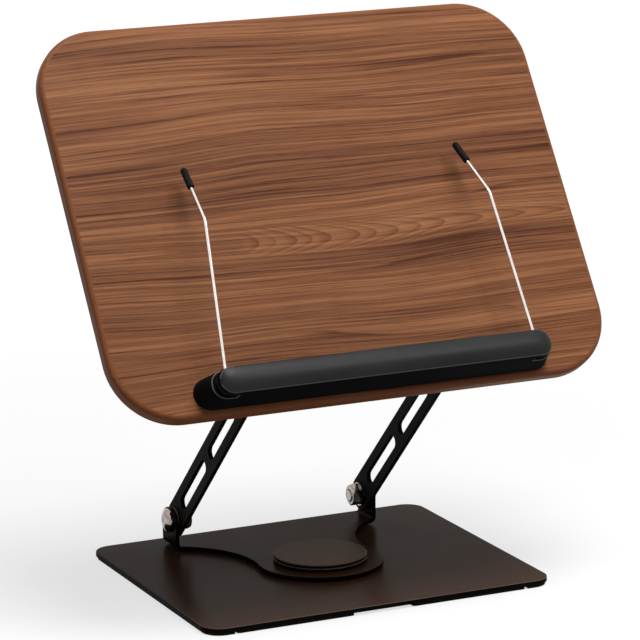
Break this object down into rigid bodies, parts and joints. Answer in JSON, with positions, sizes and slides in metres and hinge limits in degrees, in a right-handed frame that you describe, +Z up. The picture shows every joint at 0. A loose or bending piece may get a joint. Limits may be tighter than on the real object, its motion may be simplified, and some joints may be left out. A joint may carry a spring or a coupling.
{
  "type": "book stand",
  "caption": "Desk book stand: a wooden board with a ledge and swinging page clips, tilting on slotted arms above a flat steel base that it swivels on.",
  "frame": {"origin": "bottom centre of the stand's box in the pose shown, on the table; the base plate's centre is 7.6 mm and the swivel axis 4.1 mm behind it", "axes": "+Z up and the stand's longest extent; +X to the reader's right along the board and the hinge pins; +Y away from the reader and the stand's shortest extent"},
  "size_m": [0.34, 0.2152, 0.3553],
  "materials": {
    "coated_steel": "satin brown-black powder coat",
    "black_steel": "satin black powder coat",
    "walnut_veneer": "satin, straight grain along the board",
    "black_moulding": "fine satin",
    "rubber": "matt",
    "bright_steel": "bright zinc plate",
    "nickel_wire": "polished nickel",
    "black_screw": "black oxide",
    "nylon": "natural",
    "spring_steel": "plain"
  },
  "bodies": {
    "base": {"base_plate": "coated_steel", "pad_left": "rubber", "pad_right": "rubber", "pad_front_left": "rubber", "pad_front_right": "rubber", "pad_back_left": "rubber", "pad_back_right": "rubber", "pivot_stud": "bright_steel", "pivot_screw": "bright_steel", "lower_glide_washer": "nylon", "upper_glide_washer": "nylon", "disc_spring": "spring_steel"},
    "swivel": {"swivel_bracket": "black_steel", "hub_ring": "coated_steel", "hub_screws": "black_screw", "hub_cover": "coated_steel", "lower_hinge_bolts": "bright_steel", "lower_friction_washers": "nylon", "lower_nut_washers": "bright_steel", "lower_lock_nuts": "bright_steel"},
    "arms": {"left_arm": "black_steel", "right_arm": "black_steel"},
    "board": {"board": "walnut_veneer", "board_bracket": "black_steel", "bracket_screws": "black_screw", "ledge": "black_moulding", "ledge_screws": "black_screw", "clip_pins": "bright_steel", "upper_hinge_bolts": "bright_steel", "upper_friction_washers": "nylon", "upper_nut_washers": "bright_steel", "upper_lock_nuts": "bright_steel"},
    "left_clip": {"left_clip_wire": "nickel_wire", "left_clip_sleeve": "rubber"},
    "right_clip": {"right_clip_wire": "nickel_wire", "right_clip_sleeve": "rubber"}
  },
  "joints": [
    {"name": "base_swivel", "type": "hinge", "parent": "base", "child": "swivel", "pos_m": [0, 0.0041, 0.0083], "axis": [0, 0, 1], "continuous": true},
    {"name": "arm_tilt", "type": "hinge", "parent": "swivel", "child": "arms", "pos_m": [0, 0.0836, 0.024], "axis": [1, 0, 0], "range_deg": [-25, 30]},
    {"name": "board_tilt", "type": "hinge", "parent": "arms", "child": "board", "pos_m": [0, -0.03212, 0.13304], "axis": [1, 0, 0], "range_deg": [-85, 25]},
    {"name": "left_clip_swing", "type": "hinge", "parent": "board", "child": "left_clip", "pos_m": [-0.1086, -0.0975, 0.15869], "axis": [0, -0.829, 0.5592], "range_deg": [-14, 95]},
    {"name": "right_clip_swing", "type": "hinge", "parent": "board", "child": "right_clip", "pos_m": [0.1086, -0.0975, 0.15869], "axis": [0, -0.829, 0.5592], "range_deg": [-95, 14]}
  ]
}
